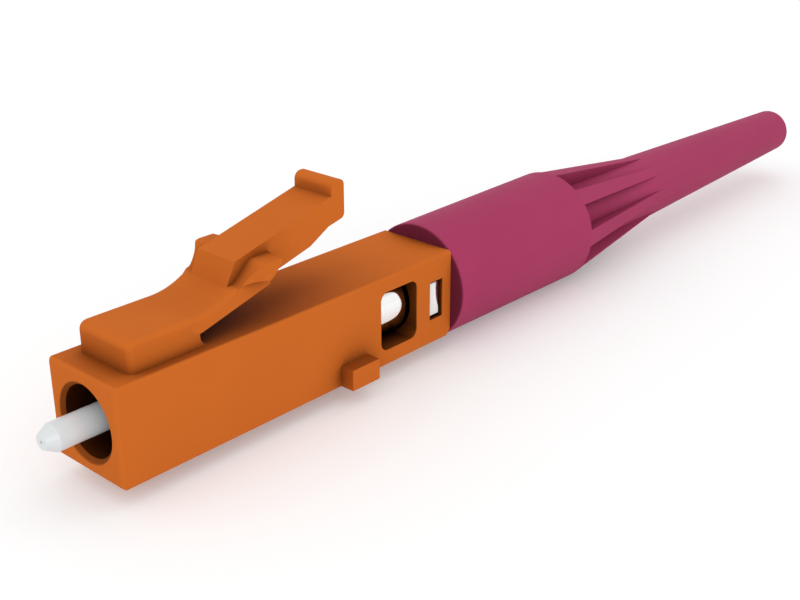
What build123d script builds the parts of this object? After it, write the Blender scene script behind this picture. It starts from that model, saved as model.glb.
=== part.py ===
from build123d import *
from math import cos, radians, sin, tan
import os

os.makedirs("parts", exist_ok=True)

# All sizes are in millimetres. The fibre runs along the X axis. The origin is on that axis, in the
# plane of the housing's front face. X runs back to the boot and Z points up to the latch.

# Fits between pieces
slide_clearance = 0.05  # floating ferrule group in the housing, per side
insert_clearance = 0.06  # metal body in the rear of the housing, per side
snap_clearance = 0.04  # snap lugs in their slots, along the fibre
seat_clearance = 0.02  # latch root in its rounded seat
tube_clearance = 0.05  # guide tube in the flange, per side
crimp_clearance = 0.03  # crimp ring on the grooved barrel, per side
boot_clearance = 0.05  # boot over the shoulder and over the crimp ring, per side
face_gap = 0.02  # boot's front face behind the housing

# Housing
housing_width = 4.5
housing_length = 19.95
housing_edge_r = 0.1
nose_corner_r = 0.2
sleeve_bore_r = 1.6
sleeve_bore_depth = 3.0
mouth_chamfer = 0.2
partition_thickness = 0.8
hex_pocket_depth = 2.6
window_length = 2.55
window_height = 3.0
window_corner_r = 0.45
window_slot_wall = 0.95
slot_height = 1.9
slot_corner_r = 0.2
slot_rear_wall = 0.71
tab_front_x = 12.2
tab_length = 1.77
tab_height = 1.03
tab_span = 6.0
rear_under_chamfer = 0.3

# Latch block on the housing, and the latch lever. Heights are above the housing's top face.
block_front_x = 1.18
block_height = 1.35
block_corner_r = 0.2
latch_width = 3.3
hinge_x = 4.7
hinge_height = 0.965
root_r = 0.385
gap_end_r = 0.3
under_angle = 14.7  # slope of the lever's underside
ramp_foot_x = 6.65
ramp_foot_height = 1.89
blade_end_x = 8.6
shoulder_foot_x = 7.05
shoulder_foot_height = 1.97
shoulder_top_x = 7.9
shoulder_top_height = 2.82
shoulder_fillet_r = 0.5
wing_span = 4.5
wing_front_x = 7.85
wing_flare_x = 7.1
wing_rear_x = 8.85
wing_back_x = 9.02
wing_back_rise = 0.7
wing_low_x = 8.1
wing_under_height = 2.02
wing_lip_rise = 0.09
tail_width = 2.36
ramp_top_x = 7.15
ramp_top_height = 2.87
tail_rise = 0.25  # rise of the tail's top per unit length
lip_front_x = 12.87
lip_top_height = 4.98
lip_front_r = 0.36
lip_rear_r = 0.28
tail_end_x = 13.66
tail_end_height = 3.17
tail_step_x = 11.5
tail_step_height = 2.33
tail_thin_x = 12.65
tail_thin_height = 2.95

# Ferrule, flange and guide tube
ferrule_r = 0.625
ferrule_tip_x = -2.0
ferrule_tip_r = 0.35
ferrule_chamfer_length = 0.5
ferrule_length = 6.5
ferrule_seat_r = 0.6
ferrule_straight_end = 2.95
fibre_hole_r = 0.063
fibre_funnel_r = 0.26
fibre_funnel_length = 0.6
hub_r = 0.95
hex_flats = 2.9
hex_length = 1.6
flange_tube_r = 0.8
flange_end_gap = 3.2  # from the flange tube to the spring seat
guide_tube_r = 0.45
guide_tube_bore_r = 0.28
guide_tube_setback = 4.0  # inside the end of the crimp barrel

# Spring
wire_r = 0.15
coil_r = 1.1
wire_sides = 6
coil_turns = 5

# Metal rear body
barrel_r = 1.72
barrel_length = 8.25
spring_pocket_r = 1.38
spring_pocket_depth = 5.2
rear_bore_r = 0.75
neck_r = 1.15
neck_length = 1.17
snap_length = 0.8
snap_reach = 4.2
snap_height = 1.6
snap_corner_r = 0.3
rear_land_r = 1.5
stop_shoulder_r = 2.15
stop_shoulder_length = 0.65
crimp_barrel_r = 1.55
crimp_barrel_length = 4.4
groove_count = 2
groove_pitch = 1.2
groove_width = 0.5
groove_depth = 0.12
lead_chamfer = 0.15

# Crimp ring
ring_wall = 0.37
ring_overhang = 0.4
ring_step_length = 0.25
sleeve_outer_r = 1.3
sleeve_inner_r = 1.08
sleeve_length = 3.0

# Boot
collar_front_r = 3.03
collar_length = 11.23
rim_r = 3.13
rib_length = 9.3
tail_front_r = 2.265
tail_end_r = 1.43
tail_length = 27.7
boot_end_chamfer = 0.3
boot_front_chamfer = 0.1
boot_cavity_spare = 0.8
cable_bore_r = 1.05
pocket_count = 8
pocket_angle = 27.3
pocket_floor_r = 2.1
pocket_length = 9.8

# Positions that follow from the sizes above
half_width = housing_width / 2
latch_plane = Plane((0, 0, half_width), x_dir=(1, 0, 0), z_dir=(0, -1, 0))
partition_rear_x = sleeve_bore_depth + partition_thickness
hex_pocket_end_x = partition_rear_x + hex_pocket_depth
hex_rear_x = partition_rear_x + hex_length
ferrule_rear_x = ferrule_tip_x + ferrule_length
rear_cavity_r = barrel_r + insert_clearance
slot_length = snap_length + snap_clearance
slot_front_x = housing_length - slot_rear_wall - slot_length
window_front_x = slot_front_x - window_slot_wall - window_length
snap_front_x = slot_front_x + snap_clearance / 2
barrel_end_x = snap_front_x - neck_length
barrel_front_x = barrel_end_x - barrel_length
spring_seat_x = barrel_front_x + spring_pocket_depth
flange_end_x = spring_seat_x - flange_end_gap
shoulder_rear_x = housing_length + stop_shoulder_length
crimp_barrel_end_x = shoulder_rear_x + crimp_barrel_length
guide_tube_end_x = crimp_barrel_end_x - guide_tube_setback
ring_inner_r = crimp_barrel_r + crimp_clearance
ring_outer_r = ring_inner_r + ring_wall
ring_end_x = crimp_barrel_end_x + ring_overhang
sleeve_end_x = ring_end_x + sleeve_length
boot_front_x = housing_length + face_gap
boot_cavity_end_x = sleeve_end_x + boot_cavity_spare
rim_x = boot_front_x + collar_length
rib_end_x = rim_x + rib_length
pocket_end_x = rim_x + pocket_length
boot_end_x = rim_x + tail_length


def tail_r(x):
    """Radius of the boot's tapered tail at x."""
    return tail_front_r + (tail_end_r - tail_front_r) * (x - rim_x) / (boot_end_x - rim_x)


# Plug housing: square body, sleeve bore, hexagon pocket, rear cavity, latch block, tabs, windows
with BuildPart() as plug_housing:
    with BuildSketch(Plane.XY.offset(-half_width)) as plug_plan:
        with Locations((housing_length / 2, 0)):
            Rectangle(housing_length, housing_width)
        fillet(plug_plan.vertices().group_by(Axis.X)[0], nose_corner_r)
    extrude(amount=housing_width)
    rear_under_edge = plug_housing.edges().filter_by(Axis.Y).group_by(Axis.X)[-1].sort_by(Axis.Z)[0]
    chamfer(rear_under_edge, rear_under_chamfer)
    flat_edges = plug_housing.faces().filter_by(Axis.Z).edges()
    fillet(flat_edges.filter_by_position(Axis.X, 0, housing_length - 2 * rear_under_chamfer), housing_edge_r)

    with BuildSketch(latch_plane):
        with BuildLine():
            Polyline(
                (hinge_x + gap_end_r, 0),
                (hinge_x + gap_end_r, -half_width),
                (block_front_x, -half_width),
                (block_front_x, block_height),
                (hinge_x, block_height),
                (hinge_x, gap_end_r),
            )
            CenterArc((hinge_x + gap_end_r, gap_end_r), gap_end_r, 180, 90)
        make_face()
    extrude(amount=latch_width / 2, both=True)
    block_edges = plug_housing.edges().filter_by(Axis.Z).filter_by_position(
        Axis.X, block_front_x - 0.01, block_front_x + 0.01
    )
    block_top_edge = plug_housing.edges().filter_by(Axis.Y).group_by(Axis.Z)[-1].sort_by(Axis.X)[0]
    fillet([*block_edges, block_top_edge], block_corner_r)
    with BuildSketch(latch_plane):
        with Locations((hinge_x, hinge_height)):
            Circle(root_r + seat_clearance)
    extrude(amount=latch_width, both=True, mode=Mode.SUBTRACT)

    with BuildSketch(Plane.XY.offset(-half_width)):
        with Locations((tab_front_x + tab_length / 2, 0)):
            Rectangle(tab_length, tab_span)
    extrude(amount=tab_height)

    with BuildSketch(Plane.YZ):
        Circle(sleeve_bore_r)
    extrude(amount=sleeve_bore_depth, mode=Mode.SUBTRACT)
    with BuildSketch(Plane.YZ.offset(sleeve_bore_depth)):
        Circle(hub_r + slide_clearance)
    extrude(amount=partition_thickness, mode=Mode.SUBTRACT)
    with BuildSketch(Plane.YZ.offset(partition_rear_x)):
        RegularPolygon(hex_flats / 2 + slide_clearance, 6, major_radius=False)
    extrude(amount=hex_pocket_depth, mode=Mode.SUBTRACT)
    with BuildSketch(Plane.YZ.offset(hex_pocket_end_x)):
        Circle(rear_cavity_r)
    extrude(amount=housing_length - hex_pocket_end_x, mode=Mode.SUBTRACT)

    with BuildSketch(Plane.XZ):
        with Locations((window_front_x + window_length / 2, 0)):
            RectangleRounded(window_length, window_height, window_corner_r)
        with Locations((slot_front_x + slot_length / 2, 0)):
            RectangleRounded(slot_length, slot_height, slot_corner_r)
    extrude(amount=housing_width, both=True, mode=Mode.SUBTRACT)

    front_circles = plug_housing.edges().filter_by(GeomType.CIRCLE).group_by(Axis.X)[0]
    chamfer(front_circles.sort_by(SortBy.RADIUS)[-1], mouth_chamfer)

# Latch lever: rounded root, blade, raised tail with its thumb lip, and two shoulders
root_under_x = hinge_x + root_r * sin(radians(under_angle))
root_under_height = hinge_height - root_r * cos(radians(under_angle))
under_slope = tan(radians(under_angle))
blade_under_height = root_under_height + under_slope * (blade_end_x - root_under_x)
lip_foot_height = ramp_top_height + tail_rise * (lip_front_x - ramp_top_x)

with BuildPart() as shoulder_wings:
    with BuildSketch(latch_plane):
        with BuildLine():
            Polyline(
                (shoulder_foot_x, shoulder_foot_height),
                (shoulder_top_x, shoulder_top_height),
                (wing_back_x, shoulder_top_height),
                (wing_back_x - wing_back_rise, wing_under_height + wing_lip_rise),
                (wing_low_x, wing_under_height),
                (wing_front_x, wing_under_height + wing_lip_rise),
                close=True,
            )
        make_face()
    extrude(amount=wing_span / 2, both=True)
    with BuildSketch(Plane.XY.offset(half_width)):
        with BuildLine():
            TangentArc((wing_flare_x, latch_width / 2), (wing_front_x, wing_span / 2), tangent=(1, 0))
            Polyline(
                (wing_front_x, wing_span / 2),
                (wing_rear_x, wing_span / 2),
                (wing_back_x, tail_width / 2),
                (wing_back_x, 0),
                (shoulder_foot_x, 0),
                (shoulder_foot_x, latch_width / 2),
                (wing_flare_x, latch_width / 2),
            )
        make_face()
        mirror(about=Plane.XZ)
    extrude(amount=shoulder_top_height, mode=Mode.INTERSECT)

with BuildPart() as latch_lever:
    with BuildSketch(latch_plane) as blade_side:
        with BuildLine():
            TangentArc((hinge_x, hinge_height + root_r), (ramp_foot_x, ramp_foot_height), tangent=(1, 0))
            Polyline(
                (ramp_foot_x, ramp_foot_height),
                (shoulder_foot_x, shoulder_foot_height),
                (shoulder_top_x, shoulder_top_height),
                (blade_end_x, shoulder_top_height),
                (blade_end_x, blade_under_height),
                (root_under_x, root_under_height),
                (hinge_x, hinge_height),
                (hinge_x, hinge_height + root_r),
            )
        make_face()
    extrude(amount=latch_width / 2, both=True)
    add(shoulder_wings.part)
    across = latch_lever.edges().filter_by(Axis.Y)
    foot_edges = across.filter_by_position(Axis.X, shoulder_foot_x - 0.01, shoulder_foot_x + 0.01)
    fillet(foot_edges, shoulder_fillet_r)
    across = latch_lever.edges().filter_by(Axis.Y)
    crest_edges = across.filter_by_position(Axis.X, shoulder_top_x - 0.01, shoulder_top_x + 0.01)
    fillet(crest_edges, shoulder_fillet_r)
    with BuildSketch(latch_plane):
        with Locations((hinge_x, hinge_height)):
            Circle(root_r)
    extrude(amount=latch_width / 2, both=True)

    with BuildSketch(latch_plane) as tail_side:
        with BuildLine():
            Polyline(
                (ramp_foot_x, ramp_foot_height),
                (ramp_top_x, ramp_top_height),
                (lip_front_x, lip_foot_height),
                (lip_front_x, lip_top_height),
                (tail_end_x, lip_top_height),
                (tail_end_x, tail_end_height),
                (tail_thin_x, tail_thin_height),
                (tail_step_x, tail_step_height),
                (blade_end_x, blade_under_height),
                (ramp_foot_x, hinge_height + root_r),
                close=True,
            )
        make_face()
        fillet(tail_side.vertices().group_by(Axis.Y)[-1].sort_by(Axis.X)[0], lip_front_r)
        fillet(tail_side.vertices().group_by(Axis.Y)[-1].sort_by(Axis.X)[-1], lip_rear_r)
        fillet(tail_side.vertices().group_by(Axis.X)[-1].sort_by(Axis.Y)[0], lip_rear_r)
    extrude(amount=tail_width / 2, both=True)

# Ferrule: chamfered tip, long straight pin, slightly tapered where it is pressed into the flange
with BuildPart() as ferrule:
    with BuildSketch(Plane.XZ):
        with BuildLine():
            Polyline(
                (ferrule_tip_x, fibre_hole_r),
                (ferrule_tip_x, ferrule_tip_r),
                (ferrule_tip_x + ferrule_chamfer_length, ferrule_r),
                (ferrule_straight_end, ferrule_r),
                (ferrule_rear_x, ferrule_seat_r),
                (ferrule_rear_x, fibre_funnel_r),
                (ferrule_rear_x - fibre_funnel_length, fibre_hole_r),
                close=True,
            )
        make_face()
    revolve(axis=Axis.X)

# Ferrule flange: round hub, hexagon that stops against the partition, tube that carries the spring
seat_slope = (ferrule_seat_r - ferrule_r) / (ferrule_rear_x - ferrule_straight_end)
seat_front_r = ferrule_r + seat_slope * (sleeve_bore_depth - ferrule_straight_end)

with BuildPart() as ferrule_flange:
    with BuildSketch(Plane.YZ.offset(sleeve_bore_depth)):
        Circle(hub_r)
    extrude(amount=partition_thickness)
    with BuildSketch(Plane.YZ.offset(partition_rear_x)):
        RegularPolygon(hex_flats / 2, 6, major_radius=False)
    extrude(amount=hex_length)
    with BuildSketch(Plane.YZ.offset(hex_rear_x)):
        Circle(flange_tube_r)
    extrude(amount=flange_end_x - hex_rear_x)
    with BuildSketch(Plane.XZ):
        with BuildLine():
            Polyline(
                (sleeve_bore_depth, 0),
                (sleeve_bore_depth, seat_front_r),
                (ferrule_rear_x, ferrule_seat_r),
                (ferrule_rear_x, guide_tube_r + tube_clearance),
                (flange_end_x, guide_tube_r + tube_clearance),
                (flange_end_x, 0),
                close=True,
            )
        make_face()
    revolve(axis=Axis.X, mode=Mode.SUBTRACT)

# Guide tube: leads the fibre into the ferrule's funnel
with BuildPart() as guide_tube:
    with BuildSketch(Plane.YZ.offset(ferrule_rear_x)):
        Circle(guide_tube_r)
        Circle(guide_tube_bore_r, mode=Mode.SUBTRACT)
    extrude(amount=guide_tube_end_x - ferrule_rear_x)

# Spring: eight-sided wire wound from the hexagon's rear face to the seat in the rear body
spring_length = spring_seat_x - hex_rear_x - 2 * wire_r
spring_pitch = spring_length / coil_turns

with BuildPart() as spring:
    with BuildLine() as coil_line:
        Helix(spring_pitch, spring_length, coil_r, center=(hex_rear_x + wire_r, 0, 0), direction=(1, 0, 0))
    with BuildSketch(coil_line.line ^ 0):
        RegularPolygon(wire_r, wire_sides)
    sweep(is_frenet=True)

# Metal rear body: front barrel, neck, snap flange with two lugs, stop shoulder, grooved crimp barrel
with BuildPart() as rear_body:
    with BuildSketch(Plane.XZ):
        with BuildLine():
            Polyline(
                (barrel_front_x, 0),
                (barrel_front_x, barrel_r),
                (barrel_end_x, barrel_r),
                (barrel_end_x, neck_r),
                (snap_front_x, neck_r),
                (snap_front_x, barrel_r),
                (snap_front_x + snap_length, barrel_r),
                (snap_front_x + snap_length, rear_land_r),
                (housing_length, rear_land_r),
                (housing_length, stop_shoulder_r),
                (shoulder_rear_x, stop_shoulder_r),
                (shoulder_rear_x, crimp_barrel_r),
                (crimp_barrel_end_x, crimp_barrel_r),
                (crimp_barrel_end_x, 0),
                close=True,
            )
        make_face()
    revolve(axis=Axis.X)
    chamfer(rear_body.edges().filter_by(GeomType.CIRCLE).group_by(Axis.X)[0], lead_chamfer)
    with BuildSketch(Plane.YZ.offset(snap_front_x)):
        RectangleRounded(snap_reach, snap_height, snap_corner_r)
    extrude(amount=snap_length)
    with BuildSketch(Plane.XZ):
        with Locations(((shoulder_rear_x + crimp_barrel_end_x) / 2, crimp_barrel_r)):
            with GridLocations(groove_pitch, 0, groove_count, 1):
                Rectangle(groove_width, 2 * groove_depth)
    revolve(axis=Axis.X, mode=Mode.SUBTRACT)
    with BuildSketch(Plane.YZ.offset(barrel_front_x)):
        Circle(spring_pocket_r)
    extrude(amount=spring_seat_x - barrel_front_x, mode=Mode.SUBTRACT)
    with BuildSketch(Plane.YZ.offset(spring_seat_x)):
        Circle(rear_bore_r)
    extrude(amount=crimp_barrel_end_x - spring_seat_x, mode=Mode.SUBTRACT)

# Crimp ring: sleeve over the grooved barrel, stepping down to a narrow sleeve for the cable jacket
with BuildPart() as crimp_ring:
    with BuildSketch(Plane.XZ):
        with BuildLine():
            Polyline(
                (shoulder_rear_x, ring_inner_r),
                (shoulder_rear_x, ring_outer_r),
                (ring_end_x, ring_outer_r),
                (ring_end_x + ring_step_length, sleeve_outer_r),
                (sleeve_end_x, sleeve_outer_r),
                (sleeve_end_x, sleeve_inner_r),
                (ring_end_x, sleeve_inner_r),
                (ring_end_x - ring_step_length, ring_inner_r),
                close=True,
            )
        make_face()
    revolve(axis=Axis.X)

# Boot: smooth collar, ribbed cone, tapered tail with the cable hole
pocket_floor_slope = (tail_r(pocket_end_x) - pocket_floor_r) / (pocket_end_x - rim_x)
pocket_run_x = pocket_end_x + 1.0
pocket_reach = 2 * rim_r
pocket_flare = pocket_reach * tan(radians(pocket_angle / 2))

with BuildPart() as boot_pockets:
    with BuildSketch(Plane.XZ):
        with BuildLine():
            Polyline(
                (rim_x, pocket_floor_r),
                (pocket_run_x, pocket_floor_r + pocket_floor_slope * (pocket_run_x - rim_x)),
                (pocket_run_x, pocket_reach),
                (rim_x, pocket_reach),
                close=True,
            )
        make_face()
    revolve(axis=Axis.X)
    with BuildSketch(Plane.YZ.offset(rim_x)):
        with PolarLocations(0, pocket_count, start_angle=180 / pocket_count):
            Polygon((0, 0), (pocket_reach, -pocket_flare), (pocket_reach, pocket_flare), align=None)
    extrude(amount=pocket_run_x - rim_x, mode=Mode.INTERSECT)

with BuildPart() as boot:
    with BuildSketch(Plane.XZ):
        with BuildLine():
            Polyline(
                (boot_front_x, 0),
                (boot_front_x, collar_front_r),
                (rim_x, rim_r),
                (rib_end_x, tail_r(rib_end_x)),
                (boot_end_x, tail_end_r),
                (boot_end_x, 0),
                close=True,
            )
        make_face()
    revolve(axis=Axis.X)
    chamfer(boot.edges().filter_by(GeomType.CIRCLE).group_by(Axis.X)[0], boot_front_chamfer)
    chamfer(boot.edges().filter_by(GeomType.CIRCLE).group_by(Axis.X)[-1], boot_end_chamfer)
    with BuildSketch(Plane.YZ.offset(boot_front_x)):
        Circle(stop_shoulder_r + boot_clearance)
    extrude(amount=shoulder_rear_x - boot_front_x, mode=Mode.SUBTRACT)
    with BuildSketch(Plane.YZ.offset(shoulder_rear_x)):
        Circle(ring_outer_r + boot_clearance)
    extrude(amount=boot_cavity_end_x - shoulder_rear_x, mode=Mode.SUBTRACT)
    with BuildSketch(Plane.YZ.offset(boot_cavity_end_x)):
        Circle(cable_bore_r)
    extrude(amount=boot_end_x - boot_cavity_end_x, mode=Mode.SUBTRACT)
    add(boot_pockets.part, mode=Mode.SUBTRACT)

plug_housing.part.label = "plug_housing"
export_step(plug_housing.part, "parts/plug_housing.step")
latch_lever.part.label = "latch_lever"
export_step(latch_lever.part, "parts/latch_lever.step")
ferrule.part.label = "ferrule"
export_step(ferrule.part, "parts/ferrule.step")
ferrule_flange.part.label = "ferrule_flange"
export_step(ferrule_flange.part, "parts/ferrule_flange.step")
guide_tube.part.label = "guide_tube"
export_step(guide_tube.part, "parts/guide_tube.step")
spring.part.label = "spring"
export_step(spring.part, "parts/spring.step")
rear_body.part.label = "rear_body"
export_step(rear_body.part, "parts/rear_body.step")
crimp_ring.part.label = "crimp_ring"
export_step(crimp_ring.part, "parts/crimp_ring.step")
boot.part.label = "boot"
export_step(boot.part, "parts/boot.step")
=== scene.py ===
import math

import bmesh
import bpy
from bpy.props import FloatProperty, FloatVectorProperty, IntProperty, PointerProperty
from mathutils import Matrix, Vector


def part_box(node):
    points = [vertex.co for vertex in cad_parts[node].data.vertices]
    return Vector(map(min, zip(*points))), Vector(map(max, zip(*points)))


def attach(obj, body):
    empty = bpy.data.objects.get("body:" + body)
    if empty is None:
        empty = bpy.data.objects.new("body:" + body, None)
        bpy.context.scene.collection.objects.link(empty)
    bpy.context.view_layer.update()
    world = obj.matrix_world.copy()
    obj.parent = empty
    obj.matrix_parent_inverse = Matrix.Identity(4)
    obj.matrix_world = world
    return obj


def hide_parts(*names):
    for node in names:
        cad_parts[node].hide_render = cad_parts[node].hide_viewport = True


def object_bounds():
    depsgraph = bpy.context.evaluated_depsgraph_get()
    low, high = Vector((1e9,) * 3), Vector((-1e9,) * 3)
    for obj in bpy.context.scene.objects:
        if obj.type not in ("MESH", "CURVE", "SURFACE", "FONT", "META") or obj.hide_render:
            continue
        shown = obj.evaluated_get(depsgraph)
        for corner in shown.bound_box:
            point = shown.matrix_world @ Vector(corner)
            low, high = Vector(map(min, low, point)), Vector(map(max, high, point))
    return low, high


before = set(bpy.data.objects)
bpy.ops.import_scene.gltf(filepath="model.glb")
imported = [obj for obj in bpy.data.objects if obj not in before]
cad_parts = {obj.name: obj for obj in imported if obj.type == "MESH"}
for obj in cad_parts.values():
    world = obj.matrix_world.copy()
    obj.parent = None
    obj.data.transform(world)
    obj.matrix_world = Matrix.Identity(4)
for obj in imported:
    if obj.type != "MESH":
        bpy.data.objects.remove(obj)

bl_info = {
    "name": "Fibre plug",
    "version": (1, 0, 0),
    "blender": (4, 5, 0),
    "location": "View3D > Sidebar > Fibre plug",
    "description": "Builds a latched fibre plug with its ferrule, metal body and boot",
    "category": "Object",
}

CAD_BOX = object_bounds()
HOUSING_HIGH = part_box("plug_housing")[1]
BOOT_LOW, BOOT_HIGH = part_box("boot")
FERRULE_LOW, FERRULE_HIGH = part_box("ferrule")

# Pieces are shaped in millimetres and brought to metres when they are finished
MM = 1000.0


def length(label, about, default):
    """A length property in metres."""
    return FloatProperty(name=label, description=about, default=default, min=0.0, unit="LENGTH", precision=5)


def angle(label, about, degrees):
    """An angle property."""
    return FloatProperty(name=label, description=about, default=math.radians(degrees), unit="ROTATION")


def colour(label, about, shade):
    """A colour property, as it looks on screen."""
    return FloatVectorProperty(
        name=label, description=about, default=shade, min=0.0, max=1.0, size=3, subtype="COLOR_GAMMA"
    )


def linear(shade):
    """The scene-linear colour of a shade that is given as it looks on screen."""
    return tuple(c / 12.92 if c <= 0.04045 else ((c + 0.055) / 1.055) ** 2.4 for c in shade) + (1.0,)


class HousingSizes(bpy.types.PropertyGroup):
    """Sizes of the square plug housing"""

    reach: length("Length", "From the front face to the rear face", HOUSING_HIGH[0])
    width: length("Width", "Across the flat sides", 0.0045)
    edge_round: length("Edge round", "Radius of the two long upper edges", 0.00015)
    nose_corner: length("Nose round", "Radius of the rim of the front face", 0.0002)
    bore: length("Sleeve bore", "Radius of the bore around the ferrule", 0.0016)
    bore_depth: length("Sleeve bore depth", "From the front face to the partition", 0.003)
    mouth: length("Mouth chamfer", "Chamfer around the bore's mouth", 0.0002)
    cavity: length("Rear cavity", "Radius of the cavity behind the window", 0.00178)
    window_front: length("Window start", "Front edge of the side windows", 0.0149)
    window_length: length("Window length", "Length of the side windows", 0.00255)
    window_height: length("Window height", "Height of the side windows", 0.003)
    slot_front: length("Slot start", "Front edge of the snap slots", 0.0184)
    slot_length: length("Slot length", "Length of the snap slots", 0.00094)
    slot_height: length("Slot height", "Height of the snap slots", 0.002)
    tab_front: length("Tab start", "Front face of the side tabs", 0.0122)
    tab_length: length("Tab length", "Length of the side tabs", 0.00177)
    tab_height: length("Tab height", "Height of the side tabs", 0.00103)
    block_front: length("Latch block start", "Front face of the block under the latch", 0.00118)
    block_top: length("Latch block top", "Top of the block above the fibre axis", 0.0036)
    block_round: length("Latch block round", "Radius of the block's upper front edge", 0.0004)
    lower_round: length("Lower round", "Radius of the two long lower edges", 0.00004)


class LatchSizes(bpy.types.PropertyGroup):
    """Sizes of the latch lever"""

    width: length("Blade width", "Width of the blade and its block", 0.0034)
    tail_width: length("Tail width", "Width of the raised tail", 0.00236)
    wing_span: length("Shoulder span", "Across the two shoulders", 0.0045)
    hinge_along: length("Root place", "Where the latch bends, from the front face", 0.0047)
    root: length("Root radius", "Radius of the rounded root", 0.000385)
    side_round: length("Side round", "Radius of the upper side edges of the blade and its block", 0.00025)


class FerruleSizes(bpy.types.PropertyGroup):
    """Sizes of the ceramic ferrule"""

    radius: length("Radius", "Radius of the straight pin", 0.000625)
    tip_radius: length("Tip radius", "Radius of the flat tip", 0.00035)
    chamfer: length("Chamfer length", "Length of the cone behind the tip", 0.0005)
    fibre_hole: length("Fibre hole", "Radius of the hole for the fibre", 0.000063)


class MetalSizes(bpy.types.PropertyGroup):
    """Sizes of the turned metal body"""

    barrel: length("Barrel radius", "Radius of the barrel in the window", 0.00172)
    neck: length("Neck radius", "Radius of the neck behind the barrel", 0.00115)
    lug_reach: length("Lug reach", "Across the two snap lugs", 0.00424)
    lug_height: length("Lug height", "Height of the snap lugs", 0.0018)


class BootSizes(bpy.types.PropertyGroup):
    """Sizes of the strain relief boot"""

    front: length("Front", "Where the boot starts", BOOT_LOW[0])
    end: length("End", "Where the boot ends", BOOT_HIGH[0])
    collar_front: length("Collar radius", "Collar radius at its front", 0.00303)
    rim: length("Rim place", "Where the collar ends and the ribs start", 0.0312)
    rim_radius: length("Rim radius", "Radius of the collar's rear rim", BOOT_HIGH[2])
    rib_end: length("Rib end", "Where the ribs run into the tail", 0.0405)
    tail_end: length("Tail radius", "Radius of the tail's end", 0.00143)
    cable_hole: length("Cable hole", "Radius of the cable's hole", 0.00105)
    pocket_count: IntProperty(name="Pockets", description="Pockets around the ribbed cone", default=8, min=3)
    pocket_angle: angle("Pocket width", "Angle between the walls of a pocket", 27.3)


class Finishes(bpy.types.PropertyGroup):
    """Colours of the finishes"""

    housing: colour("Housing", "Moulded plastic of the housing and latch", (0.800, 0.415, 0.155))
    boot: colour("Boot", "Soft plastic of the boot", (0.658, 0.232, 0.380))
    # Painted shade: the boot's front face gets this darker colour in place of the shade that falls on it.
    boot_front_painted_shade: colour("Boot front", "Duller front face of the boot", (0.40, 0.125, 0.205))
    ceramic: colour("Ceramic", "Ground ceramic of the ferrule", (0.865, 0.88, 0.885))
    metal: colour("Metal", "Plated metal of the rear body and flange", (0.97, 0.97, 0.96))
    tube: colour("Tube", "Natural plastic of the guide tube", (0.86, 0.86, 0.83))
    wire: colour("Wire", "Drawn steel of the spring", (0.62, 0.62, 0.62))


class StageSettings(bpy.types.PropertyGroup):
    """Floor, light and camera"""

    floor_size: length("Floor size", "Side of the square floor", 1.6)
    sky: FloatProperty(name="Sky light", description="Strength of the even light", default=0.94, min=0.0)
    key: FloatProperty(name="Key light", description="Power of the main lamp", default=0.05, min=0.0)
    lens: FloatProperty(name="Lens", description="Focal length of the camera", default=54.645, unit="CAMERA")


# Mesh helpers

def arc(centre, radius, start, stop, steps):
    """Points of an arc, in degrees, both ends included."""
    turns = [math.radians(start + (stop - start) * i / steps) for i in range(steps + 1)]
    return [(centre[0] + radius * math.cos(t), centre[1] + radius * math.sin(t)) for t in turns]


def rounded(corners, steps=6):
    """Closed outline through corners (a, b) or (a, b, radius); a radius turns its corner into an arc."""
    outline = []
    for i, corner in enumerate(corners):
        here = Vector(corner[:2])
        radius = corner[2] if len(corner) > 2 else 0.0
        if not radius:
            outline.append(tuple(here))
            continue
        back = (Vector(corners[i - 1][:2]) - here).normalized()
        ahead = (Vector(corners[(i + 1) % len(corners)][:2]) - here).normalized()
        half = back.angle(ahead) / 2
        middle = here + (back + ahead).normalized() * radius / math.sin(half)
        first = here + back * radius / math.tan(half) - middle
        last = here + ahead * radius / math.tan(half) - middle
        sweep = first.angle_signed(last)
        for k in range(steps + 1):
            outline.append(tuple(middle + Matrix.Rotation(-sweep * k / steps, 2) @ first))
    return outline


def finish_mesh(name, shape):
    """Object of a closed bmesh, with doubles merged and faces pointing outwards."""
    bmesh.ops.remove_doubles(shape, verts=shape.verts, dist=1e-5)
    bmesh.ops.recalc_face_normals(shape, faces=shape.faces)
    mesh = bpy.data.meshes.new(name)
    shape.to_mesh(mesh)
    shape.free()
    piece = bpy.data.objects.new(name, mesh)
    bpy.context.scene.collection.objects.link(piece)
    return piece


def prism(name, outline, plane, low, high):
    """Closed prism of an outline in plane XZ, YZ or XY, from low to high across it."""
    place = {
        "XZ": lambda a, b, t: (a, t, b),
        "YZ": lambda a, b, t: (t, a, b),
        "XY": lambda a, b, t: (a, b, t),
    }[plane]
    shape = bmesh.new()
    ends = [[shape.verts.new(place(a, b, t)) for a, b in outline] for t in (low, high)]
    for i in range(len(outline)):
        shape.faces.new([ends[0][i - 1], ends[0][i], ends[1][i], ends[1][i - 1]])
    shape.faces.new(ends[0])
    shape.faces.new(ends[1])
    return finish_mesh(name, shape)


def square_bar(name, half, upper, lower, nose, reach):
    """Square bar along X with a rounded rim at the front, and rounds of two sizes on its long edges."""
    shape = bmesh.new()
    sections = []
    for k in range(7):
        t = math.radians(15 * k)
        sections.append((nose * (1 - math.cos(t)), half - nose * (1 - math.sin(t))))
    rings = []
    for x, size in sections + [(reach, half)]:
        outline = rounded([
            (-size, -size, lower), (size, -size, lower), (size, size, upper), (-size, size, upper)
        ])
        rings.append([shape.verts.new((x, a, b)) for a, b in outline])
    for here, ahead in zip(rings, rings[1:]):
        for i in range(len(here)):
            shape.faces.new([here[i - 1], here[i], ahead[i], ahead[i - 1]])
    shape.faces.new(rings[0])
    shape.faces.new(rings[-1])
    return finish_mesh(name, shape)


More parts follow.
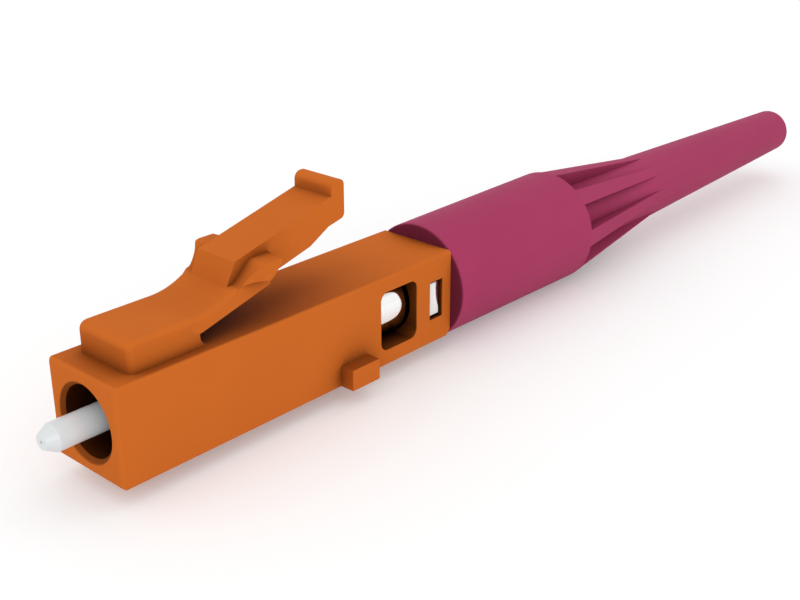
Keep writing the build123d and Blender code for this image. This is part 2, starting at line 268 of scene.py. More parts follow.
def turned(name, profile, steps=96, start=0.0, sweep=360.0):
    """Solid of a closed profile (x, radius) turned about the X axis. A part turn gets closed ends."""
    shape = bmesh.new()
    full = sweep >= 360.0
    turns = [math.radians(start + sweep * k / steps) for k in range(steps if full else steps + 1)]
    rings = []
    for t in turns:
        rings.append([shape.verts.new((x, r * math.cos(t), r * math.sin(t))) for x, r in profile])
    for k in range(len(rings) if full else len(rings) - 1):
        here, ahead = rings[k], rings[(k + 1) % len(rings)]
        for i in range(len(profile)):
            shape.faces.new([here[i - 1], here[i], ahead[i], ahead[i - 1]])
    if not full:
        shape.faces.new(rings[0])
        shape.faces.new(rings[-1])
    return finish_mesh(name, shape)


def settle(piece):
    """Applies the piece's modifiers to a plain mesh."""
    bpy.context.view_layer.update()
    result = bpy.data.meshes.new_from_object(piece.evaluated_get(bpy.context.evaluated_depsgraph_get()))
    piece.modifiers.clear()
    piece.data = result
    return piece


def combine(piece, others, operation):
    """Joins, cuts or intersects the piece with others, which are used up."""
    for other in others:
        step = piece.modifiers.new("combine", "BOOLEAN")
        step.operation = operation
        step.solver = "EXACT"
        step.object = other
        settle(piece)
        bpy.data.objects.remove(other)
    return piece


def soften(piece, width, steps=3, sharp=32.0):
    """Rounds the sharp edges by a small width."""
    shape = bmesh.new()
    shape.from_mesh(piece.data)
    bmesh.ops.remove_doubles(shape, verts=shape.verts, dist=1e-4)
    bmesh.ops.dissolve_limit(
        shape, angle_limit=math.radians(0.4), verts=shape.verts, edges=shape.edges, delimit={"NORMAL"}
    )
    shape.to_mesh(piece.data)
    shape.free()
    edge = piece.modifiers.new("soft edge", "BEVEL")
    edge.width = width
    edge.segments = steps
    edge.limit_method = "ANGLE"
    edge.angle_limit = math.radians(sharp)
    edge.use_clamp_overlap = True
    return settle(piece)


def round_side_edges(piece, width, half, floor, stop):
    """Rounds the edges of both side faces above a level and as far back as a place on the axis."""
    shape = bmesh.new()
    shape.from_mesh(piece.data)
    edges = []
    for edge in shape.edges:
        ends = [v.co for v in edge.verts]
        if abs(ends[0].y - ends[1].y) < 0.001 and all(
            abs(abs(c.y) - half) < 0.001 and c.z > floor and c.x < stop for c in ends
        ):
            edges.append(edge)
    bmesh.ops.bevel(
        shape, geom=edges, offset=width, offset_type="OFFSET", segments=4, profile=0.5, affect="EDGES"
    )
    shape.to_mesh(piece.data)
    shape.free()
    return piece


def close_up(piece):
    """Joins points that lie within a hair of each other, and stops if the piece is not closed after that."""
    shape = bmesh.new()
    shape.from_mesh(piece.data)
    bmesh.ops.remove_doubles(shape, verts=shape.verts, dist=5e-5)
    bmesh.ops.dissolve_degenerate(shape, dist=2.5e-5, edges=shape.edges)
    open_edges = [edge for edge in shape.edges if len(edge.link_faces) != 2]
    if open_edges:
        raise RuntimeError(f"{piece.name} has {len(open_edges)} open edges")
    shape.to_mesh(piece.data)
    shape.free()


def hand_over(piece, body, node, finish):
    """Brings a shaped piece to metres, gives it its finish and its body, and hides the solid that it stands
    for.
    """
    close_up(piece)
    piece.data.transform(Matrix.Scale(1.0 / MM, 4))
    for face in piece.data.polygons:
        face.use_smooth = True
    piece.data.set_sharp_from_angle(angle=math.radians(35.0))
    shade = piece.modifiers.new("even shading", "WEIGHTED_NORMAL")
    shade.weight = 60
    shade.keep_sharp = True
    settle(piece)
    piece.data.materials.clear()
    piece.data.materials.append(finish)
    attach(piece, body)
    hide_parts(node)


# Finishes

def new_finish(name):
    """Material with its shader, node tree and an Object coordinate output."""
    finish = bpy.data.materials.get(name)
    if finish:
        return finish, None, None, None
    finish = bpy.data.materials.new(name)
    finish.use_nodes = True
    nodes = finish.node_tree.nodes
    shader = nodes["Principled BSDF"]
    place = nodes.new("ShaderNodeTexCoord")
    return finish, nodes, finish.node_tree.links, (shader, place.outputs["Object"])


def cloud(nodes, links, place, scale, detail, stretch=(1.0, 1.0, 1.0)):
    """Noise over Object coordinates."""
    mapping = nodes.new("ShaderNodeMapping")
    mapping.inputs["Scale"].default_value = stretch
    links.new(place, mapping.inputs["Vector"])
    noise = nodes.new("ShaderNodeTexNoise")
    noise.inputs["Scale"].default_value = scale
    noise.inputs["Detail"].default_value = detail
    links.new(mapping.outputs["Vector"], noise.inputs["Vector"])
    return noise.outputs["Fac"]


def vary(nodes, links, source, low, high):
    """Spreads a noise value between two colours."""
    ramp = nodes.new("ShaderNodeValToRGB")
    ramp.color_ramp.elements[0].position = 0.3
    ramp.color_ramp.elements[0].color = low
    ramp.color_ramp.elements[1].position = 0.7
    ramp.color_ramp.elements[1].color = high
    links.new(source, ramp.inputs["Fac"])
    return ramp.outputs["Color"]


def spread(nodes, links, source, low, high):
    """Spreads a noise value between two numbers."""
    span = nodes.new("ShaderNodeMapRange")
    span.inputs["From Min"].default_value = 0.3
    span.inputs["From Max"].default_value = 0.7
    span.inputs["To Min"].default_value = low
    span.inputs["To Max"].default_value = high
    links.new(source, span.inputs["Value"])
    return span.outputs["Result"]


def relief(nodes, links, source, shader, strength, distance):
    """Fine bumps from a noise value."""
    bump = nodes.new("ShaderNodeBump")
    bump.inputs["Strength"].default_value = strength
    bump.inputs["Distance"].default_value = distance
    links.new(source, bump.inputs["Height"])
    links.new(bump.outputs["Normal"], shader.inputs["Normal"])


def hollowness(nodes, reach, own):
    """How open the surface is to the sides, from zero in a pit to one, among its own faces or any piece's;
    the factor that painted shade is made from.
    """
    hollow = nodes.new("ShaderNodeAmbientOcclusion")
    hollow.inputs["Distance"].default_value = reach
    hollow.only_local = own
    hollow.samples = 8
    return hollow.outputs["AO"]


def sum_up(nodes, links, operation, first, second):
    """One math step on two values, each a number or another node's output."""
    step = nodes.new("ShaderNodeMath")
    step.operation = operation
    for socket, value in zip(step.inputs, (first, second)):
        if isinstance(value, (int, float)):
            socket.default_value = value
        else:
            links.new(value, socket)
    return step.outputs[0]


def shaded(nodes, links, source, factor):
    """A colour made darker by a factor."""
    mix = nodes.new("ShaderNodeMix")
    mix.data_type = "RGBA"
    mix.blend_type = "MULTIPLY"
    mix.inputs["Factor"].default_value = 1.0
    links.new(source, mix.inputs[6])
    links.new(factor, mix.inputs[7])
    return mix.outputs[2]


def painted_recess_shade(nodes, links, source, reach, depth, own):
    """Darkens a colour with painted shade where the surface lies in a recess."""
    factor = sum_up(nodes, links, "POWER", hollowness(nodes, reach, own), depth)
    return shaded(nodes, links, source, factor)


def inside_walls(nodes, links, place, sizes):
    """One on the walls of the housing's bore, windows and slots, zero on its outside faces: where the painted
    shade is made deeper.
    """
    split = nodes.new("ShaderNodeSeparateXYZ")
    links.new(place, split.inputs["Vector"])
    along, across, upright = split.outputs["X"], split.outputs["Y"], split.outputs["Z"]
    squares = [sum_up(nodes, links, "MULTIPLY", side, side) for side in (across, upright)]
    radius = sum_up(nodes, links, "SQRT", sum_up(nodes, links, "ADD", *squares), 0.0)
    bore = sizes.bore + sizes.mouth
    in_bore = sum_up(nodes, links, "MULTIPLY",
                     sum_up(nodes, links, "LESS_THAN", radius, bore),
                     sum_up(nodes, links, "GREATER_THAN", along, 0.00004))
    level = sum_up(nodes, links, "ABSOLUTE", upright, 0.0)
    low = sum_up(nodes, links, "LESS_THAN", level, sizes.window_height / 2 + 0.0001)
    near = sum_up(nodes, links, "ABSOLUTE", across, 0.0)
    deep = sum_up(nodes, links, "LESS_THAN", near, sizes.width / 2 - 0.00005)
    behind = sum_up(nodes, links, "GREATER_THAN", along, sizes.nose_corner + sizes.lower_round)
    in_windows = sum_up(nodes, links, "MULTIPLY", sum_up(nodes, links, "MULTIPLY", low, deep), behind)
    return sum_up(nodes, links, "MAXIMUM", in_bore, in_windows)


def facing_up(nodes, links):
    """One where the surface looks up, zero where it looks sideways or down: the faces that get painted shade
    under the latch.
    """
    place = nodes.new("ShaderNodeTexCoord")
    split = nodes.new("ShaderNodeSeparateXYZ")
    links.new(place.outputs["Normal"], split.inputs["Vector"])
    return sum_up(nodes, links, "MAXIMUM", split.outputs["Z"], 0.0)


def scaled(shade, factor):
    """A linear colour made lighter or darker."""
    return tuple(min(1.0, c * factor) for c in shade[:3]) + (1.0,)


def housing_plastic():
    """Satin moulded plastic of the housing and the latch, with painted shade in its creases, under the latch
    and inside the bore, windows and slots.
    """
    finish, nodes, links, rest = new_finish("moulded plastic")
    if nodes is None:
        return finish
    shader, place = rest
    base = linear(bpy.context.scene.plug_finishes.housing)
    flow = cloud(nodes, links, place, 260.0, 3.0)
    skin = vary(nodes, links, flow, scaled(base, 0.975), scaled(base, 1.02))
    # Painted shade: darker in the piece's own creases, on upward faces under other pieces such as the latch,
    # and deeper inside the bore, windows and slots.
    own = hollowness(nodes, 0.0021, True)
    other = hollowness(nodes, 0.0055, False)
    up = facing_up(nodes, links)
    painted_shade_under_latch = sum_up(nodes, links, "SUBTRACT", 1.0, sum_up(
        nodes, links, "MULTIPLY", up, sum_up(nodes, links, "SUBTRACT", 1.0, other)
    ))
    painted_shade_outside = sum_up(nodes, links, "POWER", sum_up(nodes, links, "MINIMUM", own, painted_shade_under_latch), 1.25)
    painted_shade_inside = sum_up(nodes, links, "POWER", other, 1.65)
    inside = inside_walls(nodes, links, place, bpy.context.scene.plug_housing)
    blend = nodes.new("ShaderNodeMix")
    links.new(inside, blend.inputs["Factor"])
    links.new(painted_shade_outside, blend.inputs[2])
    links.new(painted_shade_inside, blend.inputs[3])
    links.new(shaded(nodes, links, skin, blend.outputs[0]), shader.inputs["Base Color"])
    grain = cloud(nodes, links, place, 9000.0, 2.0)
    links.new(spread(nodes, links, grain, 0.58, 0.68), shader.inputs["Roughness"])
    relief(nodes, links, grain, shader, 0.06, 0.00002)
    shader.inputs["Specular IOR Level"].default_value = 0.02
    return finish


def boot_plastic():
    """Soft plastic of the boot, with a painted shade colour on the front face that shuts against the housing,
    and painted shade in its pockets.
    """
    finish, nodes, links, rest = new_finish("soft boot plastic")
    if nodes is None:
        return finish
    shader, place = rest
    shades = bpy.context.scene.plug_finishes
    sizes = bpy.context.scene.plug_boot
    base = linear(shades.boot)
    flow = cloud(nodes, links, place, 220.0, 3.0)
    skin = vary(nodes, links, flow, scaled(base, 0.97), scaled(base, 1.025))
    split = nodes.new("ShaderNodeSeparateXYZ")
    links.new(place, split.inputs["Vector"])
    # Painted shade: the front face, ahead of this place, takes the darker boot front colour.
    behind = nodes.new("ShaderNodeMapRange")
    behind.inputs["From Min"].default_value = sizes.front + 0.00002
    behind.inputs["From Max"].default_value = sizes.front + 0.0001
    links.new(split.outputs["X"], behind.inputs["Value"])
    mix = nodes.new("ShaderNodeMix")
    mix.data_type = "RGBA"
    links.new(behind.outputs["Result"], mix.inputs["Factor"])
    mix.inputs[6].default_value = linear(shades.boot_front_painted_shade)
    links.new(skin, mix.inputs[7])
    # Painted shade: the base colour is darkened in the boot's pockets and creases.
    links.new(painted_recess_shade(nodes, links, mix.outputs[2], 0.0015, 0.42, True), shader.inputs["Base Color"])
    grain = cloud(nodes, links, place, 7000.0, 2.0)
    links.new(spread(nodes, links, grain, 0.52, 0.64), shader.inputs["Roughness"])
    relief(nodes, links, grain, shader, 0.1, 0.00002)
    shader.inputs["Specular IOR Level"].default_value = 0.05
    return finish


def ground_ceramic():
    """Ground and polished ceramic of the ferrule."""
    finish, nodes, links, rest = new_finish("ground ceramic")
    if nodes is None:
        return finish
    shader, place = rest
    base = linear(bpy.context.scene.plug_finishes.ceramic)
    rings = cloud(nodes, links, place, 1500.0, 2.0, (0.5, 1.0, 1.0))
    links.new(vary(nodes, links, rings, scaled(base, 0.985), scaled(base, 1.01)), shader.inputs["Base Color"])
    links.new(spread(nodes, links, rings, 0.18, 0.3), shader.inputs["Roughness"])
    shader.inputs["Coat Weight"].default_value = 0.25
    shader.inputs["Coat Roughness"].default_value = 0.08
    return finish


def plated_metal():
    """Bright plated metal with fine turning lines, and painted shade where other pieces lie close around it.
    """
    finish, nodes, links, rest = new_finish("plated metal")
    if nodes is None:
        return finish
    shader, place = rest
    base = linear(bpy.context.scene.plug_finishes.metal)
    lines = cloud(nodes, links, place, 900.0, 4.0, (12.0, 0.2, 0.2))
    skin = vary(nodes, links, lines, scaled(base, 0.94), scaled(base, 1.03))
    # Painted shade: the metal is darkened where the housing's walls lie close around it.
    links.new(painted_recess_shade(nodes, links, skin, 0.0007, 1.6, False), shader.inputs["Base Color"])
    links.new(spread(nodes, links, lines, 0.04, 0.08), shader.inputs["Roughness"])
    relief(nodes, links, lines, shader, 0.05, 0.00001)
    shader.inputs["Metallic"].default_value = 1.0
    return finish


def drawn_wire():
    """Drawn steel wire of the spring."""
    finish, nodes, links, rest = new_finish("drawn wire")
    if nodes is None:
        return finish
    shader, place = rest
    base = linear(bpy.context.scene.plug_finishes.wire)
    flow = cloud(nodes, links, place, 4000.0, 3.0)
    links.new(vary(nodes, links, flow, scaled(base, 0.9), scaled(base, 1.05)), shader.inputs["Base Color"])
    links.new(spread(nodes, links, flow, 0.25, 0.38), shader.inputs["Roughness"])
    shader.inputs["Metallic"].default_value = 1.0
    return finish


def tube_plastic():
    """Natural plastic of the guide tube."""
    finish, nodes, links, rest = new_finish("natural plastic")
    if nodes is None:
        return finish
    shader, place = rest
    base = linear(bpy.context.scene.plug_finishes.tube)
    flow = cloud(nodes, links, place, 3000.0, 2.0)
    links.new(vary(nodes, links, flow, scaled(base, 0.95), scaled(base, 1.02)), shader.inputs["Base Color"])
    links.new(spread(nodes, links, flow, 0.35, 0.45), shader.inputs["Roughness"])
    return finish


# Pieces

class CONNECTOR_OT_housing(bpy.types.Operator):
    """Build the square plug housing with its bore, windows, slots, tabs and latch block"""

    bl_idname = "connector.housing"
    bl_label = "Plug housing"

    def execute(self, context):
        s = context.scene.plug_housing
        latch = context.scene.plug_latch
        half = s.width * MM / 2
        reach = s.reach * MM
        body = square_bar("plug_body", half, s.edge_round * MM, s.lower_round * MM, s.nose_corner * MM, reach)

        tab_front = s.tab_front * MM
        tab_rear = tab_front + s.tab_length * MM
        tab_top = -half + s.tab_height * MM
        tab_half = HOUSING_HIGH[1] * MM
        tabs = [(tab_half, -half), (tab_half, tab_top), (-tab_half, tab_top), (-tab_half, -half)]
        combine(body, [prism("tabs", tabs, "YZ", tab_front, tab_rear)], "UNION")

        bore = s.bore * MM
        depth = s.bore_depth * MM
        mouth = s.mouth * MM
        cavity = s.cavity * MM
        hub_hole = 1.0
        partition_rear = 3.8
        hexagon_corner = 1.732
        pocket_rear = 6.4
        overlap = 0.1
        nose = turned("nose_bore", [
            (-mouth, 0.0), (-mouth, bore + 2 * mouth), (mouth, bore), (depth, bore), (depth, hub_hole),
            (partition_rear + overlap, hub_hole), (partition_rear + overlap, 0.0),
        ])
        hexagon = arc((0.0, 0.0), hexagon_corner, 0, 300, 5)
        pocket = prism("flange_pocket", hexagon, "YZ", partition_rear, pocket_rear + overlap)
        rear = turned("rear_cavity", [
            (pocket_rear, 0.0), (pocket_rear, cavity), (reach + 1, cavity), (reach + 1, 0.0)
        ])
        window_front = s.window_front * MM
        window_rear = window_front + s.window_length * MM
        window_half = s.window_height * MM / 2
        window = rounded([
            (window_front, -window_half, 0.45), (window_rear, -window_half, 0.45),
            (window_rear, window_half, 0.45), (window_front, window_half, 0.45),
        ], 8)
        slot_front = s.slot_front * MM
        slot_rear = slot_front + s.slot_length * MM
        slot_half = s.slot_height * MM / 2
        slot = rounded([
            (slot_front, -slot_half, 0.06), (slot_rear, -slot_half, 0.06),
            (slot_rear, slot_half, 0.06), (slot_front, slot_half, 0.06),
        ], 5)
        under = [(reach - 0.3, -half - 0.01), (reach + 0.01, -half - 0.01), (reach + 0.01, -half + 0.3)]
        combine(body, [
            nose, pocket, rear,
            prism("window", window, "XZ", -4.0, 4.0),
            prism("slot", slot, "XZ", -4.0, 4.0),
            prism("rear_under", under, "XZ", -4.0, 4.0),
        ], "DIFFERENCE")

        front = s.block_front * MM
        top = s.block_top * MM
        hinge = latch.hinge_along * MM
        root = latch.root * MM
        wide = latch.width * MM / 2
        gap = 0.42
        block_r = s.block_round * MM
        side = rounded([
            (hinge + 0.6, top), (front, top, block_r), (front, half - 0.5), (hinge + gap, half - 0.5)
        ], 6)
        block = prism("latch_block", side, "XZ", -wide, wide)
        round_side_edges(block, latch.side_round * MM, wide, half - 0.6, hinge + 0.7)
        notch = arc((hinge + gap, half + gap), gap, 180, 270, 6)
        notch += [(hinge + 1.0, half), (hinge + 1.0, top + 1), (hinge, top + 1)]
        seat = arc((hinge, top - root), root + 0.0015, 0, 360, 96)[:-1]
        combine(block, [
            prism("under_gap", notch, "XZ", -4.0, 4.0),
            prism("root_seat", seat, "XZ", -4.0, 4.0),
        ], "DIFFERENCE")
        combine(body, [block], "UNION")
        hand_over(body, "plug", "plug_housing", housing_plastic())
        return {"FINISHED"}


class CONNECTOR_OT_latch(bpy.types.Operator):
    """Build the latch lever with its blade, shoulders, raised tail and thumb lip"""

    bl_idname = "connector.latch"
    bl_label = "Latch lever"

    def execute(self, context):
        s = context.scene.plug_latch
        hinge = s.hinge_along * MM
        root = s.root * MM
        top = context.scene.plug_housing.block_top * MM
        pivot = (hinge, top - root)
        wide = s.width * MM / 2
        tail = s.tail_width * MM / 2
        wing = s.wing_span * MM / 2
        slope = math.radians(14.7)
        under_start = (pivot[0] + root * math.sin(slope), pivot[1] - root * math.cos(slope))
        blade_end = 8.6
        under_end = under_start[1] + math.tan(slope) * (blade_end - under_start[0])

        foot = (6.65, 4.14)
        bend = ((foot[0] - hinge) ** 2 + (foot[1] - top) ** 2) / (2 * (foot[1] - top))
        sweep = math.degrees(math.asin((foot[0] - hinge) / bend))
        blade = [(hinge - 1.2, top)] + arc((hinge, top + bend), bend, -90, -90 + sweep, 14)
        blade += rounded([
            (blade_end, under_end), (under_start[0], under_start[1]), (hinge - 1.2, under_start[1]),
            foot, (7.05, 4.22, 0.5), (7.9, 5.07, 0.5), (blade_end, 5.07),
        ], 8)[4:]
        blade += [(blade_end, under_end), under_start, (hinge - 1.2, under_start[1])]
        lever = prism("latch", blade, "XZ", -wide, wide)
        round_side_edges(lever, s.side_round * MM, wide, top - 0.001, 6.66)

        wing_side = rounded([
            (6.78, 4.12), (7.05, 4.22, 0.5), (7.9, 5.07, 0.5), (9.02, 5.07), (8.32, 4.36), (8.1, 4.27),
            (7.85, 4.36),
        ], 8)
        flare = [(6.8 + 1.219 * math.sin(t), wide + 1.219 - 1.219 * math.cos(t))
                 for t in [math.radians(59.49) * k / 8 for k in range(9)]]
        flare[-1] = (7.85, wing)
        plan = [(6.7, wide)] + flare + [(8.85, wing), (9.02, tail)]
        plan += [(a, -b) for a, b in reversed(plan)]
        wings = prism("shoulders", wing_side, "XZ", -wing, wing)
        combine(wings, [prism("shoulder_plan", plan, "XY", 0.0, 9.0)], "INTERSECT")
        combine(lever, [wings], "UNION")

        lip_foot = 5.12 + 0.25 * (12.87 - 7.15)
        tail_side = rounded([
            (6.65, 4.14), (7.15, 5.12), (12.87, lip_foot), (12.87, 7.23, 0.36), (13.66, 7.23, 0.28),
            (13.66, 5.42, 0.28), (12.65, 5.2), (11.5, 4.58), (blade_end, under_end), (6.65, 3.6),
        ], 8)
        combine(lever, [prism("tail", tail_side, "XZ", -tail, tail)], "UNION")

        ahead = [(hinge - 3, 0.0), (hinge, 0.0), (hinge, 6.0), (hinge - 3, 6.0)]
        trim = prism("root_trim", ahead, "XZ", -4.0, 4.0)
        round_end = prism("root_round", arc(pivot, root, 0, 360, 96)[:-1], "XZ", -5.0, 5.0)
        combine(trim, [round_end], "DIFFERENCE")
        combine(lever, [trim], "DIFFERENCE")
        hand_over(lever, "latch", "latch_lever", housing_plastic())
        return {"FINISHED"}


class CONNECTOR_OT_ferrule(bpy.types.Operator):
    """Build the ceramic ferrule with its chamfered tip and fibre hole"""

    bl_idname = "connector.ferrule"
    bl_label = "Ferrule"

    def execute(self, context):
        s = context.scene.plug_ferrule
        tip = FERRULE_LOW[0] * MM
        rear = FERRULE_HIGH[0] * MM
        radius = s.radius * MM
        hole = s.fibre_hole * MM
        profile = rounded([
            (tip, hole), (tip, s.tip_radius * MM, 0.03), (tip + s.chamfer * MM, radius, 0.06), (2.95, radius),
            (rear, 0.6), (rear, 0.26), (rear - 0.6, hole),
        ], 4)
        pin = turned("ceramic_ferrule", profile, 64)
        hand_over(pin, "ferrule_group", "ferrule", ground_ceramic())
        return {"FINISHED"}


class CONNECTOR_OT_rear_body(bpy.types.Operator):
    """Build the turned metal body with its snap lugs and grooved barrel"""

    bl_idname = "connector.rear_body"
    bl_label = "Rear body"

    def execute(self, context):
        s = context.scene.plug_metal
        barrel = s.barrel * MM
        neck = s.neck * MM
        outside = [
            (9.0, barrel, 0.12), (17.25, barrel, 0.06), (17.25, neck), (18.42, neck), (18.42, barrel),
            (19.22, barrel), (19.22, 1.5), (19.95, 1.5), (19.95, 2.15, 0.05), (20.6, 2.15, 0.05),
            (20.6, 1.55),
        ]
        for start in (21.95, 23.15):
            outside += [(start, 1.55), (start, 1.43), (start + 0.5, 1.43), (start + 0.5, 1.55)]
        outside += [(25.0, 1.55, 0.08)]
        inside = [(25.0, 0.75), (14.2, 0.75), (14.2, 1.38), (9.0, 1.38)]
        body = turned("metal_rear_body", rounded(outside + inside, 4), 96)
        reach = s.lug_reach * MM / 2
        high = s.lug_height * MM / 2
        for sign, name in ((-1, "near"), (1, "far")):
            lug = rounded([
                (sign * 1.2, -high), (sign * reach, -high, 0.08), (sign * reach, high, 0.08),
                (sign * 1.2, high),
            ], 6)
            piece = soften(prism(name + "_lug", lug, "YZ", 18.42, 19.2), 0.03)
            combine(body, [piece], "UNION")
        hand_over(body, "plug", "rear_body", plated_metal())
        return {"FINISHED"}


def pocket_tree():
    """Node tree that cuts a ring of pockets into the boot."""
    tree = bpy.data.node_groups.new("boot pockets", "GeometryNodeTree")
    sockets = {}
    for name, kind in (
        ("Boot", "NodeSocketGeometry"), ("Cutter", "NodeSocketObject"), ("Pockets", "NodeSocketInt"),
        ("First angle", "NodeSocketFloat"), ("Finish", "NodeSocketMaterial"),
    ):
        sockets[name] = tree.interface.new_socket(name=name, in_out="INPUT", socket_type=kind)
    tree.interface.new_socket(name="Boot", in_out="OUTPUT", socket_type="NodeSocketGeometry")
    nodes = tree.nodes
    links = tree.links
    given = nodes.new("NodeGroupInput")
    points = nodes.new("GeometryNodePoints")
    links.new(given.outputs["Pockets"], points.inputs["Count"])
    step = nodes.new("ShaderNodeMath")
    step.operation = "DIVIDE"
    step.inputs[0].default_value = math.tau
    links.new(given.outputs["Pockets"], step.inputs[1])
    turn = nodes.new("ShaderNodeMath")
    turn.operation = "MULTIPLY_ADD"
    index = nodes.new("GeometryNodeInputIndex")
    links.new(index.outputs["Index"], turn.inputs[0])
    links.new(step.outputs[0], turn.inputs[1])
    links.new(given.outputs["First angle"], turn.inputs[2])
    euler = nodes.new("ShaderNodeCombineXYZ")
    links.new(turn.outputs[0], euler.inputs["X"])
    rotation = nodes.new("FunctionNodeEulerToRotation")
    links.new(euler.outputs[0], rotation.inputs[0])
    cutter = nodes.new("GeometryNodeObjectInfo")
    links.new(given.outputs["Cutter"], cutter.inputs["Object"])
    ring = nodes.new("GeometryNodeInstanceOnPoints")
    links.new(points.outputs[0], ring.inputs["Points"])
    links.new(cutter.outputs["Geometry"], ring.inputs["Instance"])
    links.new(rotation.outputs[0], ring.inputs["Rotation"])
    solid = nodes.new("GeometryNodeRealizeInstances")
    links.new(ring.outputs[0], solid.inputs[0])
    cut = nodes.new("GeometryNodeMeshBoolean")
    cut.operation = "DIFFERENCE"
    cut.solver = "EXACT"
    links.new(given.outputs["Boot"], cut.inputs["Mesh 1"])
    links.new(solid.outputs[0], cut.inputs["Mesh 2"])
    whole = nodes.new("GeometryNodeRealizeInstances")
    links.new(cut.outputs[0], whole.inputs[0])
    paint = nodes.new("GeometryNodeSetMaterial")
    links.new(whole.outputs[0], paint.inputs["Geometry"])
    links.new(given.outputs["Finish"], paint.inputs["Material"])
    result = nodes.new("NodeGroupOutput")
    links.new(paint.outputs[0], result.inputs["Boot"])
    return tree, sockets


class CONNECTOR_OT_boot(bpy.types.Operator):
    """Build the boot with its collar, its ring of pockets and its tapered tail"""

    bl_idname = "connector.boot"
    bl_label = "Boot"

    def execute(self, context):
        s = context.scene.plug_boot
        front = s.front * MM
        end = s.end * MM
        rim = s.rim * MM
        rib_end = s.rib_end * MM
        rim_tail = 2.265
        ring_bore = 2.0
        ring_rear = 29.2
        shoulder_bore = 2.2
        step = 20.6
        tail_end = s.tail_end * MM
        hole = s.cable_hole * MM

        def tail_radius(x):
            return rim_tail + (tail_end - rim_tail) * (x - rim) / (end - rim)

        profile = rounded([
            (front, s.collar_front * MM, 0.14), (rim, s.rim_radius * MM, 0.05),
            (rib_end, tail_radius(rib_end)),
            (end, tail_end, 0.3), (end, hole, 0.06), (ring_rear, hole), (ring_rear, ring_bore),
            (step, ring_bore), (step, shoulder_bore), (front, shoulder_bore),
        ], 5)
        boot = turned("boot_skin", profile, 128)

        pocket_end = rim + 9.8
        floor = 2.1
        fall = (tail_radius(pocket_end) - floor) / (pocket_end - rim)
        past = pocket_end + 1.0
        half_angle = math.degrees(s.pocket_angle) / 2
        cutter = turned(
            "pocket_cutter", [(rim, floor), (rim, 6.0), (past, 6.0), (past, floor + fall * (past - rim))],
            8, -half_angle, 2 * half_angle,
        )
        finish = boot_plastic()
        tree, sockets = pocket_tree()
        ring = boot.modifiers.new("pockets", "NODES")
        ring.node_group = tree
        ring[sockets["Cutter"].identifier] = cutter
        ring[sockets["Pockets"].identifier] = s.pocket_count
        ring[sockets["First angle"].identifier] = math.pi / s.pocket_count
        ring[sockets["Finish"].identifier] = finish
        settle(boot)
        bpy.data.objects.remove(cutter)
        hand_over(boot, "plug", "boot", finish)
        return {"FINISHED"}


class CONNECTOR_OT_inner_parts(bpy.types.Operator):
    """Give the flange, guide tube, spring and crimp ring their finishes"""

    bl_idname = "connector.inner_parts"
    bl_label = "Inner parts"

    def execute(self, context):
        finishes = {
            "ferrule_flange": plated_metal(),
            "crimp_ring": plated_metal(),
            "guide_tube": tube_plastic(),
            "spring": drawn_wire(),
        }
        for node, finish in finishes.items():
            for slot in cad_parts[node].material_slots:
                slot.material = finish
        return {"FINISHED"}


class CONNECTOR_OT_stage(bpy.types.Operator):
    """Lay the pale floor, set the even light and place the camera"""

    bl_idname = "connector.stage"
    bl_label = "Stage"

    def execute(self, context):
        s = context.scene.plug_stage
        half = s.floor_size / 2
        low = CAD_BOX[0][2]
        mesh = bpy.data.meshes.new("floor")
        corners = [(-half, -half, low), (half, -half, low), (half, half, low), (-half, half, low)]
        mesh.from_pydata(corners, [], [(0, 1, 2, 3)])
        floor = bpy.data.objects.new("floor", mesh)
        context.scene.collection.objects.link(floor)
        mesh.materials.append(floor_paper())

        world = bpy.data.worlds.new("even sky")
        context.scene.world = world
        world.use_nodes = True
        nodes = world.node_tree.nodes
        links = world.node_tree.links
        sky = nodes["Background"]
        sky.inputs["Color"].default_value = (1.0, 1.0, 1.0, 1.0)
        sky.inputs["Strength"].default_value = s.sky
        white = nodes.new("ShaderNodeBackground")
        white.inputs["Color"].default_value = (1.0, 1.0, 1.0, 1.0)
        white.inputs["Strength"].default_value = 1.0
        seen = seen_ray(nodes, links)
        mix = nodes.new("ShaderNodeMixShader")
        links.new(seen, mix.inputs[0])
        links.new(sky.outputs[0], mix.inputs[1])
        links.new(white.outputs[0], mix.inputs[2])
        links.new(mix.outputs[0], nodes["World Output"].inputs["Surface"])

        lamp = bpy.data.lights.new("key", "AREA")
        lamp.shape = "DISK"
        lamp.size = 0.12
        lamp.energy = s.key
        key = bpy.data.objects.new("key", lamp)
        context.scene.collection.objects.link(key)
        key.location = (-0.09, -0.14, 0.045)
        aim = Vector((0.02, 0.0, 0.0)) - key.location
        key.rotation_euler = aim.to_track_quat("-Z", "Y").to_euler()

        lens = bpy.data.cameras.new("camera")
        lens.lens = s.lens
        lens.sensor_width = 36.0
        lens.clip_start = 0.001
        lens.clip_end = 20.0
        camera = bpy.data.objects.new("camera", lens)
        context.scene.collection.objects.link(camera)
        camera.matrix_world = camera_place()
        context.scene.camera = camera
        context.scene.view_settings.view_transform = "Standard"
        return {"FINISHED"}


def camera_place():
    """Where the camera stands and how it is turned."""
    spot = Vector((-0.0230955, -0.0377013, 0.0236089))
    turn = Vector((1.8440, -0.8202, 0.5397))
    to_camera = Matrix.Rotation(turn.length, 3, turn.normalized())
    right, down, ahead = to_camera[0], to_camera[1], to_camera[2]
    facing = Matrix((right, -down, -ahead)).transposed().to_4x4()
    return Matrix.Translation(spot) @ facing


def seen_ray(nodes, links):
    """One for rays that the camera, a gloss or a clear piece sees, else zero."""
    path = nodes.new("ShaderNodeLightPath")
    first = nodes.new("ShaderNodeMath")
    first.operation = "MAXIMUM"
    links.new(path.outputs["Is Camera Ray"], first.inputs[0])
    links.new(path.outputs["Is Glossy Ray"], first.inputs[1])
    second = nodes.new("ShaderNodeMath")
    second.operation = "MAXIMUM"
    links.new(first.outputs[0], second.inputs[0])
    links.new(path.outputs["Is Transmission Ray"], second.inputs[1])
    return second.outputs[0]


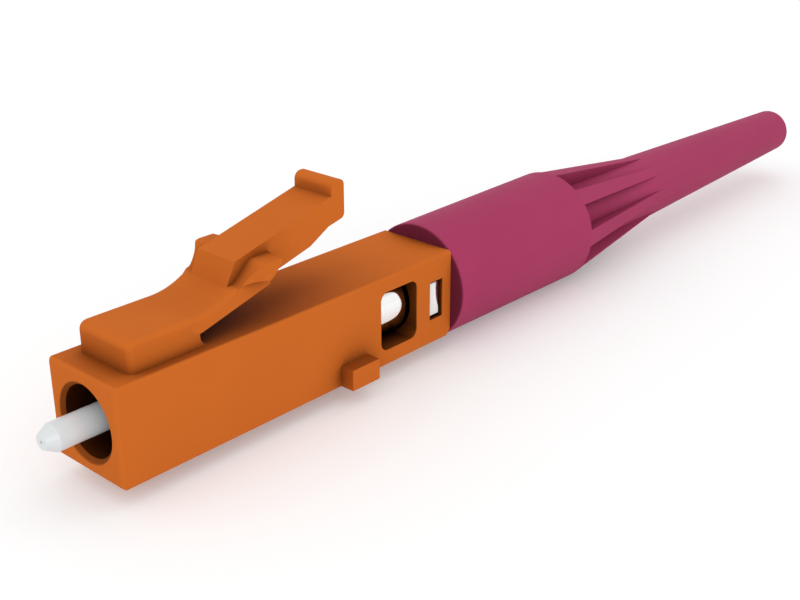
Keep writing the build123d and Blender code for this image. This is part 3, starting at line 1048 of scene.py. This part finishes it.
def floor_paper():
    """White paper that keeps a soft shadow and looks white where nothing shades it."""
    finish = bpy.data.materials.new("floor paper")
    finish.use_nodes = True
    nodes = finish.node_tree.nodes
    links = finish.node_tree.links
    nodes.remove(nodes["Principled BSDF"])
    matt = nodes.new("ShaderNodeBsdfDiffuse")
    matt.inputs["Color"].default_value = (0.86, 0.86, 0.86, 1.0)
    glow = nodes.new("ShaderNodeEmission")
    lift = nodes.new("ShaderNodeMath")
    lift.operation = "MULTIPLY"
    lift.inputs[1].default_value = 0.2
    links.new(seen_ray(nodes, links), lift.inputs[0])
    links.new(lift.outputs[0], glow.inputs["Strength"])
    both = nodes.new("ShaderNodeAddShader")
    links.new(matt.outputs[0], both.inputs[0])
    links.new(glow.outputs[0], both.inputs[1])
    links.new(both.outputs[0], nodes["Material Output"].inputs["Surface"])
    return finish


class CONNECTOR_PT_panel(bpy.types.Panel):
    """Buttons that build the plug and its stage"""

    bl_idname = "CONNECTOR_PT_panel"
    bl_label = "Fibre plug"
    bl_space_type = "VIEW_3D"
    bl_region_type = "UI"
    bl_category = "Fibre plug"

    def draw(self, context):
        for operator in PIECES:
            self.layout.operator(operator.bl_idname)
        for name in GROUPS:
            settings = getattr(context.scene, name)
            box = self.layout.box()
            box.label(text=settings.bl_rna.description or name)
            for key in settings.__annotations__:
                box.prop(settings, key)


GROUPS = {
    "plug_housing": HousingSizes,
    "plug_latch": LatchSizes,
    "plug_ferrule": FerruleSizes,
    "plug_metal": MetalSizes,
    "plug_boot": BootSizes,
    "plug_finishes": Finishes,
    "plug_stage": StageSettings,
}
PIECES = (
    CONNECTOR_OT_housing,
    CONNECTOR_OT_latch,
    CONNECTOR_OT_ferrule,
    CONNECTOR_OT_rear_body,
    CONNECTOR_OT_boot,
    CONNECTOR_OT_inner_parts,
    CONNECTOR_OT_stage,
)


def register():
    for name, group in GROUPS.items():
        bpy.utils.register_class(group)
        setattr(bpy.types.Scene, name, PointerProperty(type=group))
    for operator in PIECES:
        bpy.utils.register_class(operator)
    bpy.utils.register_class(CONNECTOR_PT_panel)


def unregister():
    bpy.utils.unregister_class(CONNECTOR_PT_panel)
    for operator in reversed(PIECES):
        bpy.utils.unregister_class(operator)
    for name, group in reversed(GROUPS.items()):
        delattr(bpy.types.Scene, name)
        bpy.utils.unregister_class(group)


def main():
    """Builds every piece and the stage."""
    register()
    bpy.ops.connector.stage()
    bpy.ops.connector.housing()
    bpy.ops.connector.latch()
    bpy.ops.connector.ferrule()
    bpy.ops.connector.rear_body()
    bpy.ops.connector.boot()
    bpy.ops.connector.inner_parts()


if __name__ == "__main__":
    main()
